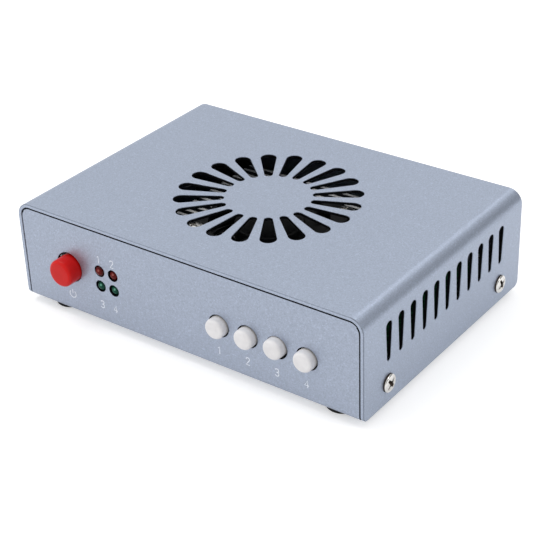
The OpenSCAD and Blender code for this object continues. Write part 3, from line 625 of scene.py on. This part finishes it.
def make_cover():
    """The top and both side walls, with the petal vent and the side slots."""
    start = COVER_SIZE.x / 2 - COVER_BEND_R
    half = unfolded(COVER_SIZE.z, start, COVER_BEND_R)
    deep = COVER_SIZE.y / 2

    def up_wall(z):
        """Where a height over the lower edge lies on the flat sheet."""
        return unfolded(COVER_SIZE.z - z, start, COVER_BEND_R)

    outline = []
    for k, (sx, sy) in enumerate(((1, 1), (-1, 1), (-1, -1), (1, -1))):
        outline += arc(sx * (half - WALL_CORNER_R), sy * (deep - WALL_CORNER_R),
                       WALL_CORNER_R, 90 * k, 90 * k + 90)
    petal = drop(PETAL_FAR, PETAL_NEAR)
    outlines = [outline] + [turned(petal, 360 * k / PETALS) for k in range(PETALS)]
    slot = drop((SLOT_TOP[0], -up_wall(SLOT_TOP[1])), (SLOT_LOW[0], -up_wall(SLOT_LOW[1])))
    for k in range(SLOTS):
        row = (k - (SLOTS - 1) / 2) * SLOT_PITCH
        outlines += [moved(slot, 0, row), moved(turned(slot, 180), 0, row)]
    for sx, sy in CORNERS:
        outlines.append(ring(sx * up_wall(SCREW_Z), sy * SCREW_SPAN / 2, SCREW_HOLE_R, 24))

    bm = flat_sheet("cover_flat", outlines)
    # Painted shade on the hole walls and on the outward roundings of the outline
    mark_edges(bm, 1, steep=EDGE_SLOPE, half_x=half - SHEET_T, half_y=deep - SHEET_T)
    cut_at(bm, 0, bend_places(start, COVER_BEND_R))
    for vert in bm.verts:
        x, depth = fold(vert.co.x, SHEET_T - vert.co.z, start, COVER_BEND_R)
        vert.co = (x, vert.co.y + MID_Y, cover_high.z - depth)
    weighted(new_piece("cover_shell", mesh_from(bm, "cover_shell"), "case", "cover_paint",
                       "top_cover", PAINTED_SHADE, SHADED_ROUNDING_PAINT))


def make_tray():
    """The floor, both panels with their holes, and the flanges behind the side walls."""
    across = TRAY_SIZE.x / 2 - TRAY_BEND_R
    along = TRAY_SIZE.y / 2 - TRAY_BEND_R
    flange = unfolded(FLANGE_H, across, TRAY_BEND_R)
    top = unfolded(TRAY_SIZE.z, along, TRAY_BEND_R)
    wide = TRAY_SIZE.x / 2

    def up_panel(z):
        """Where a height lies on the flat rear panel; the front panel's is negative."""
        return unfolded(z - UNDERSIDE, along, TRAY_BEND_R)

    quarter = [(flange, FLANGE_HALF), (across, FLANGE_HALF),
               (across, FLANGE_HALF + BEND_RELIEF), (wide, FLANGE_HALF + BEND_RELIEF)]
    quarter += arc(wide - PANEL_CORNER_R, top - PANEL_CORNER_R, PANEL_CORNER_R, 0, 90)
    outline = quarter + [(-x, y) for x, y in reversed(quarter)]
    outline += [(-x, -y) for x, y in quarter] + [(x, -y) for x, y in reversed(quarter)]
    outlines = [outline]
    for sx, sy in CORNERS:
        outlines.append(ring(sx * unfolded(SCREW_Z, across, TRAY_BEND_R),
                             sy * SCREW_SPAN / 2, SCREW_HOLE_R, 24))

    cap = centre("power_cap")
    outlines.append(ring(cap.x - POWER_SKEW, -up_panel(cap.z + POWER_SKEW),
                         extent("power_cap").x / 2 + POWER_GAP, 40))
    for i in range(1, KEYS + 1):
        key = centre(f"key_cap_{i}")
        outlines.append(ring(key.x + KEY_SKEW, -up_panel(key.z - key_rise(i)),
                             KEY_R + KEY_GAP))
    for name in LAMPS:
        lamp = centre(name)
        outlines.append(ring(lamp.x, -up_panel(lamp.z), LAMP_R + LAMP_GAP, 24))

    jack = centre("dc_jack_pin")
    outlines.append(ring(jack.x, up_panel(jack.z), JACK_NOSE_R + SOCKET_GAP))
    usb, usb_size = centre("usb_socket"), extent("usb_socket")
    end_r = usb_size.z / 2 + SOCKET_GAP
    end_x = (usb_size.x - usb_size.z) / 2
    outlines.append(arc(usb.x + end_x, up_panel(usb.z), end_r, -90, 90, 12)
                    + arc(usb.x - end_x, up_panel(usb.z), end_r, 90, 270, 12))
    low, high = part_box("output_header")
    x0, x1 = low.x - SOCKET_GAP, high.x + SOCKET_GAP
    y0, y1 = up_panel(low.z - SOCKET_GAP), up_panel(high.z + SOCKET_GAP)
    outlines.append([(x0, y0), (x1, y0), (x1, y1), (x0, y1)])

    bm = flat_sheet("tray_flat", outlines)
    # Painted shade on the walls of holes and cut edges and on some of their roundings
    mark_edges(bm, -1, steep=0.5, side_x=wide - SHEET_T)
    cut_at(bm, 0, bend_places(across, TRAY_BEND_R, 6))
    cut_at(bm, 1, bend_places(along, TRAY_BEND_R, 6))
    for vert in bm.verts:
        x, y, depth = vert.co
        if abs(y) < FLANGE_HALF + BEND_RELIEF / 2:
            x, depth = fold(x, depth, across, TRAY_BEND_R)
        else:
            y, depth = fold(y, depth, along, TRAY_BEND_R)
        vert.co = (x, y + MID_Y, UNDERSIDE + depth)
    weighted(new_piece("tray_shell", mesh_from(bm, "tray_shell"), "case", "panel_paint",
                       "base_tray", PAINTED_SHADE))


# ---------------------------------------------------------------- turned parts

ON_AXIS = 1e-9


def turned_part(profile, steps=64):
    """A solid of revolution round +Z from (radius, height) points, closed at the axis."""
    bm = bmesh.new()
    rows = []
    for radius, height in profile:
        if radius < ON_AXIS:
            rows.append([bm.verts.new((0, 0, height))])
        else:
            rows.append([bm.verts.new((x, y, height)) for x, y in ring(0, 0, radius, steps)])
    for lower, upper in zip(rows, rows[1:]):
        for k in range(steps):
            n = (k + 1) % steps
            if len(lower) == 1:
                bm.faces.new((lower[0], upper[k], upper[n]))
            elif len(upper) == 1:
                bm.faces.new((lower[k], lower[n], upper[0]))
            else:
                bm.faces.new((lower[k], lower[n], upper[n], upper[k]))
    return bm


def out_of_front(bm, x, y, z):
    """Turns a solid so that its +Z points out of the front panel, and places it."""
    bmesh.ops.rotate(bm, verts=bm.verts, matrix=Matrix.Rotation(math.pi / 2, 3, "X"))
    bmesh.ops.translate(bm, verts=bm.verts, vec=(x, y, z))
    return bm


# Caps: a hole is the radius and depth of the hollow at the back, and the rim the width
# and thickness of the collar that holds a key behind the panel. The stop gap keeps a
# pressed key's cap off its switch.
POWER_EDGE = 0.9 * MM
POWER_DRAFT = 0.05 * MM
POWER_HOLE = (2.2 * MM, 5 * MM)
KEY_EDGE = 0.8 * MM
KEY_DRAFT = 0.03 * MM
KEY_HOLE = (1.72 * MM, 2.6 * MM)
KEY_RIM = (0.9 * MM, 0.8 * MM)
KEY_RIM_FROM = KEY_R + 0.04 * MM
KEY_STOP_GAP = 0.04 * MM


def rounded_button(radius, length, edge, draft, hole, rim=None):
    """Profile of a hollow-backed button: back at 0, face at length."""
    hole_r, hole_depth = hole
    profile = [(0, hole_depth), (hole_r, hole_depth), (hole_r, 0)]
    if rim:
        width, thickness = rim
        profile += [(radius + width, 0), (radius + width, thickness), (radius, thickness)]
    else:
        profile += [(radius, 0)]
    neck = radius - draft - edge
    profile += arc(neck, length - edge, edge, 0, 90, 6)
    return profile + [(neck * 0.5, length), (0, length)]


def make_power_cap():
    low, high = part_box("power_cap")
    mid = centre("power_cap")
    profile = rounded_button(extent("power_cap").x / 2, high.y - low.y, POWER_EDGE,
                             POWER_DRAFT, POWER_HOLE)
    bm = out_of_front(turned_part(profile, 96), mid.x, high.y, mid.z)
    new_piece("power_cap_moulding", mesh_from(bm, "power_cap_moulding"), "power_button",
              "red_plastic", "power_cap")


def make_key_caps():
    """White caps; the rim that holds each one behind the panel takes the dark finish, a
    painted shade.
    """
    for i in range(1, KEYS + 1):
        low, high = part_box(f"key_cap_{i}")
        mid = centre(f"key_cap_{i}")
        back = high.y - KEY_STOP_GAP
        profile = rounded_button(KEY_R, back - low.y, KEY_EDGE, KEY_DRAFT, KEY_HOLE, KEY_RIM)
        bm = turned_part(profile, 72)
        # Painted shade on the rim, which sits in shade behind the panel
        for face in bm.faces:
            if face.calc_center_median().xy.length > KEY_RIM_FROM:
                face.material_index = 1
        out_of_front(bm, mid.x, back, mid.z)
        new_piece(f"key_moulding_{i}", mesh_from(bm, f"key_moulding_{i}"), f"key_{i}",
                  "white_plastic", f"key_cap_{i}", PAINTED_SHADE)


# ---------------------------------------------------------------- screws

SCREW_HEAD_R = 2.45 * MM
SCREW_HEAD_H = 0.96 * MM
SCREW_RIM_H = 0.45 * SCREW_HEAD_H
SCREW_DOME = 2.6
SCREW_R = 1.5 * MM
SCREW_LEN = 5 * MM
SCREW_TIP = 0.3 * MM
SCREW_TURNS = (12, 70, 41, 28)

# The cross recess: its arms' reach, half width at the middle, depth, how much they taper,
# the width of their walls and the share of the depth that is left at their ends
RECESS_HALF = 1.75 * MM
RECESS_W = 0.55 * MM
RECESS_DEEP = 0.9 * MM
RECESS_TAPER = 0.45
RECESS_WALL = 0.1 * MM
RECESS_END = 0.25

# Faces of a head given painted shade: near its upright rim, and this deep in the recess
RIM_SLACK = 0.02 * MM
DARK_DEPTH = 0.2 * MM


def recess_depth(x, y):
    """Depth of a cross recess below the head: four arms that taper and run out."""
    depth = 0.0
    for along, across in ((abs(x), abs(y)), (abs(y), abs(x))):
        reach = along / RECESS_HALF
        if reach >= 1:
            continue
        half_width = RECESS_W * (1 - RECESS_TAPER * reach)
        wall = min(1.0, max(0.0, (half_width - across) / RECESS_WALL))
        run_out = min(1.0, (1 + RECESS_END) * (1 - reach) + RECESS_END)
        depth = max(depth, wall * RECESS_DEEP * run_out)
    return depth


def cover_screw():
    """Low head that stands on z = 0, with a cross recess, on a shank below it.

    The recess and the upright rim take the second finish."""
    rings, steps = 34, 96
    bm = bmesh.new()
    rows = [[bm.verts.new((0, 0, SCREW_HEAD_H - recess_depth(0, 0)))]]
    for r in range(1, rings + 1):
        share = r / rings
        curve = math.sqrt(max(0.0, 1 - share ** SCREW_DOME))
        dome = SCREW_RIM_H + (SCREW_HEAD_H - SCREW_RIM_H) * curve
        rows.append([bm.verts.new((x, y, dome - recess_depth(x, y)))
                     for x, y in ring(0, 0, SCREW_HEAD_R * share, steps)])
    for radius, z in ((SCREW_HEAD_R, 0), (SCREW_R, 0), (SCREW_R, SCREW_TIP - SCREW_LEN),
                      (SCREW_R - SCREW_TIP, -SCREW_LEN)):
        rows.append([bm.verts.new((x, y, z)) for x, y in ring(0, 0, radius, steps)])
    for lower, upper in zip(rows, rows[1:]):
        for k in range(steps):
            n = (k + 1) % steps
            if len(lower) == 1:
                face = bm.faces.new((lower[0], upper[k], upper[n]))
            else:
                face = bm.faces.new((lower[k], upper[k], upper[n], lower[n]))
            mid = face.calc_center_median()
            upright = abs(mid.xy.length - SCREW_HEAD_R) < RIM_SLACK
            if mid.z > 0 and (upright or recess_depth(mid.x, mid.y) > DARK_DEPTH):
                face.material_index = 1
    bm.faces.new(list(reversed(rows[-1])))
    return bm


def make_cover_screws():
    for k, (sx, sy) in enumerate(CORNERS):
        bm = cover_screw()
        for turn in (Matrix.Rotation(math.radians(SCREW_TURNS[k]), 3, "Z"),
                     Matrix.Rotation(sx * math.pi / 2, 3, "Y")):
            bmesh.ops.rotate(bm, verts=bm.verts, matrix=turn)
        place = (sx * COVER_SIZE.x / 2, MID_Y + sy * SCREW_SPAN / 2, centre("cover_screws").z)
        bmesh.ops.translate(bm, verts=bm.verts, vec=place)
        name = f"cover_screw_{k + 1}"
        new_piece(name, mesh_from(bm, name), "case", "nickel_screw", "cover_screws",
                  SCREW_SHADE)


# ---------------------------------------------------------------- fan rotor

HUB_R = 9.5 * MM
HUB_WALL = 0.8 * MM
HUB_EDGE = 0.7 * MM
SHAFT_R = 1.0 * MM
SHAFT_TIP = 0.2 * MM
SHAFT_GROOVE = 0.15 * MM
SHAFT_COVER = 0.3 * MM

# Blades: angles are in degrees, and the camber is a share of the height
BLADES = 7
BLADE_R = 15.85 * MM
BLADE_T = 0.8 * MM
BLADE_MARGIN = 0.4 * MM
BLADE_SPAN = 30
BLADE_SWEEP = 16
BLADE_CAMBER = 0.12
BLADE_ROWS = 8
BLADE_STEPS = 12


def blade_side(bm, number, height, lift):
    """One side of a blade, as rows of points from the hub to the tip."""
    root = HUB_R - HUB_WALL / 2
    grid = []
    for r in range(BLADE_ROWS + 1):
        share = r / BLADE_ROWS
        radius = root + (BLADE_R - root) * share
        row = []
        for k in range(BLADE_STEPS + 1):
            along = k / BLADE_STEPS
            angle = math.radians(360 * number / BLADES + BLADE_SPAN * (along - 0.5)
                                 + BLADE_SWEEP * share ** 1.5)
            rise = min(1, along + BLADE_CAMBER * math.sin(math.pi * along))
            z = BLADE_MARGIN + (height - 2 * BLADE_MARGIN - BLADE_T) * rise + lift
            row.append(bm.verts.new((radius * math.cos(angle), radius * math.sin(angle), z)))
        grid.append(row)
    return grid


def border(grid):
    """The points round a grid, in order."""
    return (grid[0] + [row[-1] for row in grid[1:]] + grid[-1][-2::-1]
            + [row[0] for row in grid[-2:0:-1]])


def add_blade(bm, number, height):
    under, upper = (blade_side(bm, number, height, lift) for lift in (0, BLADE_T))
    for r in range(BLADE_ROWS):
        for k in range(BLADE_STEPS):
            for grid in (under, upper):
                bm.faces.new((grid[r][k], grid[r][k + 1], grid[r + 1][k + 1], grid[r + 1][k]))
    low_edge, high_edge = border(under), border(upper)
    for k in range(len(low_edge)):
        n = (k + 1) % len(low_edge)
        bm.faces.new((low_edge[k], low_edge[n], high_edge[n], high_edge[k]))


def make_rotor():
    """Closed hub with swept blades, and the shaft that is pressed into it."""
    low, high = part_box("fan_rotor")
    mid = centre("fan_shaft")
    height = high.z - low.z
    seat = height - SHAFT_COVER
    profile = [(0, seat), (SHAFT_R, seat), (SHAFT_R, height - HUB_WALL),
               (HUB_R - HUB_WALL, height - HUB_WALL), (HUB_R - HUB_WALL, 0), (HUB_R, 0)]
    profile += arc(HUB_R - HUB_EDGE, height - HUB_EDGE, HUB_EDGE, 0, 90, 6)
    profile += [(HUB_R * 0.5, height), (0, height)]
    bm = turned_part(profile, 96)
    for number in range(BLADES):
        add_blade(bm, number, height)
    bmesh.ops.translate(bm, verts=bm.verts, vec=(mid.x, mid.y, low.z))
    new_piece("rotor_moulding", mesh_from(bm, "rotor_moulding"), "rotor", "fan_black",
              "fan_rotor")

    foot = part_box("fan_shaft")[0].z
    length = low.z + seat - foot
    groove_r = SHAFT_R - SHAFT_GROOVE
    profile = [(0, 0), (SHAFT_R - SHAFT_TIP, 0), (SHAFT_R, SHAFT_TIP),
               (SHAFT_R, 2 * SHAFT_TIP), (groove_r, 2 * SHAFT_TIP), (groove_r, 4 * SHAFT_TIP),
               (SHAFT_R, 4 * SHAFT_TIP), (SHAFT_R, length), (0, length)]
    bm = turned_part(profile, 48)
    bmesh.ops.translate(bm, verts=bm.verts, vec=(mid.x, mid.y, foot))
    new_piece("rotor_shaft", mesh_from(bm, "rotor_shaft"), "rotor", "shaft_steel",
              "fan_shaft")


# ---------------------------------------------------------------- lamps and feet

LAMP_FLANGE_T = 1.0 * MM
LAMP_FLANGE_EDGE = 0.1 * MM

FOOT_TOP_R = 5.0 * MM
FOOT_TREAD_R = 4.45 * MM
FOOT_EDGE = 0.35 * MM


def make_lamps():
    """Bulbs with a round tip and a flange at the base."""
    for name in LAMPS:
        low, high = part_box(name)
        mid = centre(name)
        length = high.y - low.y
        flange_r = (high.x - low.x) / 2
        edge_r = flange_r - LAMP_FLANGE_EDGE
        profile = [(0, 0), (edge_r, 0), (flange_r, LAMP_FLANGE_EDGE),
                   (flange_r, LAMP_FLANGE_T - LAMP_FLANGE_EDGE), (edge_r, LAMP_FLANGE_T),
                   (LAMP_R, LAMP_FLANGE_T)]
        profile += arc(0, length - LAMP_R, LAMP_R, 0, 82.5, 11) + [(0, length)]
        bm = out_of_front(turned_part(profile, 48), mid.x, high.y, mid.z)
        slot = "red_lens" if "red" in name else "green_lens"
        new_piece(f"{name}_bulb", mesh_from(bm, f"{name}_bulb"), "case", slot, name)


def make_feet():
    """Rubber feet with a rounded tread."""
    low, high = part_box("rubber_feet")
    height = high.z - low.z
    profile = [(0, 0)] + arc(FOOT_TREAD_R - FOOT_EDGE, FOOT_EDGE, FOOT_EDGE, -90, 0, 5)
    profile += [(FOOT_TOP_R, height), (0, height)]
    for k, (sx, sy) in enumerate(CORNERS):
        x = sx * (high.x - FOOT_TOP_R)
        y = (low.y + high.y) / 2 + sy * ((high.y - low.y) / 2 - FOOT_TOP_R)
        bm = turned_part(profile, 48)
        bmesh.ops.translate(bm, verts=bm.verts, vec=(x, y, low.z))
        name = f"foot_{k + 1}"
        new_piece(name, mesh_from(bm, name), "case", "black_rubber", "rubber_feet")


# ---------------------------------------------------------------- printed signs

INK_W = 0.3 * MM
INK_FLATNESS = 0.12

# Sizes of the signs, and heights of their centres over the sheet's underside
SIGN_H = 2.1 * MM
POWER_SIGN_H = 2.6 * MM
POWER_SIGN_Z = 5.6 * MM
KEY_SIGN_Z = 5.3 * MM
RED_SIGN_Z = 19.3 * MM
GREEN_SIGN_Z = 5.7 * MM


def print_sign(name, paths, x, z, height):
    """Printed strokes on the front panel; paths are in shares of the height."""
    curve = bpy.data.curves.new(name, "CURVE")
    curve.dimensions = "3D"
    for path in paths:
        add_line(curve, [(x + u * height, FRONT_PANEL_Y, UNDERSIDE + z + v * height)
                         for u, v in path])
    curve.bevel_depth = INK_W / 2
    curve.bevel_resolution = 2
    curve.use_fill_caps = True
    mesh = curve_mesh(curve)
    # The ink is a thin film: its strokes are pressed flat against the panel
    for vert in mesh.vertices:
        vert.co.y = FRONT_PANEL_Y + (vert.co.y - FRONT_PANEL_Y) * INK_FLATNESS
    new_piece(name, mesh, "case", None, None, INK)


# Each sign's strokes, from its centre, in shares of its height
DIGITS = {
    "1": [[(-0.16, 0.3), (0.04, 0.5), (0.04, -0.5)]],
    "2": [[(-0.25, 0.26), (-0.2, 0.42), (-0.06, 0.5), (0.1, 0.5), (0.24, 0.4), (0.25, 0.2),
           (0.14, 0.02), (-0.27, -0.5), (0.28, -0.5)]],
    "3": [[(-0.25, 0.38), (-0.1, 0.5), (0.1, 0.5), (0.24, 0.4), (0.24, 0.16), (0.08, 0.03),
           (-0.06, 0.03)],
          [(0.08, 0.03), (0.25, -0.1), (0.27, -0.3), (0.14, -0.48), (-0.1, -0.5),
           (-0.27, -0.36)]],
    "4": [[(0.12, -0.5), (0.12, 0.5), (-0.3, -0.2), (0.32, -0.2)]],
}
POWER_SIGN = [  # an open ring and a bar
    [(0.42 * math.sin(math.radians(a)), 0.42 * math.cos(math.radians(a)) - 0.05)
     for a in range(38, 323, 12)],
    [(0, 0.5), (0, 0.02)],
]


def make_signs():
    print_sign("sign_power", POWER_SIGN, centre("power_cap").x, POWER_SIGN_Z, POWER_SIGN_H)
    for i in range(1, KEYS + 1):
        print_sign(f"sign_key_{i}", DIGITS[str(i)], centre(f"key_cap_{i}").x, KEY_SIGN_Z,
                   SIGN_H)
    for digit, lamp in zip("1234", LAMPS):
        z = RED_SIGN_Z if "red" in lamp else GREEN_SIGN_Z
        print_sign(f"sign_lamp_{digit}", DIGITS[digit], centre(lamp).x, z, SIGN_H)


# ---------------------------------------------------------------- stage

FLOOR_SIZE = 6
FLOOR_GREY = (0.8, 0.8, 0.8, 1)
FLOOR_TO_CAMERA = 0.45
FLOOR_TO_GLOSS = 0.3

# The surroundings' brightness, and where they are darker: towards each spot, as far as
# the cosine of the angle from it is above DARK_FROM, and most where it is above DARK_FULL
WORLD_LEVEL = 0.85
DARK_LEVEL = 0.22
DARK_SPOTS = ((0.72, 0.66, 0.22), (0.96, -0.2, 0.18))
DARK_FROM = 0.74
DARK_FULL = 0.92

# Lights: place, size in metres and power in watts
LIGHTS = {
    "key_light": ((-0.5, -0.1, 1.1), 0.7, 3),
    "left_light": ((-0.7, -0.9, 0.35), 0.4, 0.85),
    "right_light": ((0.9, 0.15, 0.6), 0.5, 2.0),
    "back_light": ((-0.05, 0.8, 0.85), 0.3, 0.5),
}
LIT_POINT = Vector((0, 0, 15)) * MM


def maths(tree, operation, first, second):
    """A maths node on two inputs, each a socket or a number."""
    made = tree.nodes.new("ShaderNodeMath")
    made.operation = operation
    for socket, value in zip(made.inputs, (first, second)):
        if isinstance(value, bpy.types.NodeSocket):
            tree.links.new(value, socket)
        else:
            socket.default_value = value
    return made.outputs[0]


def make_floor():
    """A pale floor that shows white to the camera and keeps the object's shadow."""
    bm = bmesh.new()
    bmesh.ops.create_grid(bm, x_segments=1, y_segments=1, size=FLOOR_SIZE)
    mesh = bpy.data.meshes.new("floor")
    bm.to_mesh(mesh)
    bm.free()
    floor = put_in_scene("floor", mesh)
    material = bpy.data.materials.new("floor")
    material.use_nodes = True
    tree = material.node_tree
    tree.nodes.clear()
    diffuse = tree.nodes.new("ShaderNodeBsdfDiffuse")
    diffuse.inputs["Color"].default_value = FLOOR_GREY
    ray = tree.nodes.new("ShaderNodeLightPath").outputs
    to_camera = maths(tree, "MULTIPLY", ray["Is Camera Ray"], FLOOR_TO_CAMERA)
    to_gloss = maths(tree, "MULTIPLY", ray["Is Glossy Ray"], FLOOR_TO_GLOSS)
    glow = tree.nodes.new("ShaderNodeEmission")
    tree.links.new(maths(tree, "MAXIMUM", to_camera, to_gloss), glow.inputs["Strength"])
    both = tree.nodes.new("ShaderNodeAddShader")
    tree.links.new(diffuse.outputs[0], both.inputs[0])
    tree.links.new(glow.outputs[0], both.inputs[1])
    out = tree.nodes.new("ShaderNodeOutputMaterial")
    tree.links.new(both.outputs[0], out.inputs["Surface"])
    mesh.materials.append(material)


def make_world():
    """White studio surroundings, darker low down at the right."""
    world = bpy.data.worlds.new("studio")
    bpy.context.scene.world = world
    world.use_nodes = True
    tree = world.node_tree
    background = tree.nodes["Background"]
    background.inputs["Color"].default_value = (1, 1, 1, 1)
    view = tree.nodes.new("ShaderNodeTexCoord").outputs["Generated"]
    nearness = []
    for spot in DARK_SPOTS:
        towards = tree.nodes.new("ShaderNodeVectorMath")
        towards.operation = "DOT_PRODUCT"
        towards.inputs[1].default_value = Vector(spot).normalized()
        tree.links.new(view, towards.inputs[0])
        nearness.append(towards.outputs["Value"])
    room = tree.nodes.new("ShaderNodeMapRange")
    for key, value in (("From Min", DARK_FROM), ("From Max", DARK_FULL),
                       ("To Min", WORLD_LEVEL), ("To Max", DARK_LEVEL)):
        room.inputs[key].default_value = value
    tree.links.new(maths(tree, "MAXIMUM", *nearness), room.inputs["Value"])
    ray = tree.nodes.new("ShaderNodeLightPath").outputs
    seen = maths(tree, "MAXIMUM", ray["Is Camera Ray"], room.outputs["Result"])
    tree.links.new(seen, background.inputs["Strength"])


def make_lights():
    for name, (place, size, power) in LIGHTS.items():
        data = bpy.data.lights.new(name, "AREA")
        data.shape = "DISK"
        data.size = size
        data.energy = power
        light = put_in_scene(name, data)
        light.location = place
        light.rotation_mode = "QUATERNION"
        light.rotation_quaternion = (LIT_POINT - Vector(place)).to_track_quat("-Z", "Y")


bpy.context.scene.view_settings.view_transform = "Standard"
make_camera()
dress_nodes()
soften_edges()
make_cover()
make_tray()
make_power_cap()
make_key_caps()
make_cover_screws()
make_rotor()
make_lamps()
make_feet()
make_signs()
make_floor()
make_world()
make_lights()
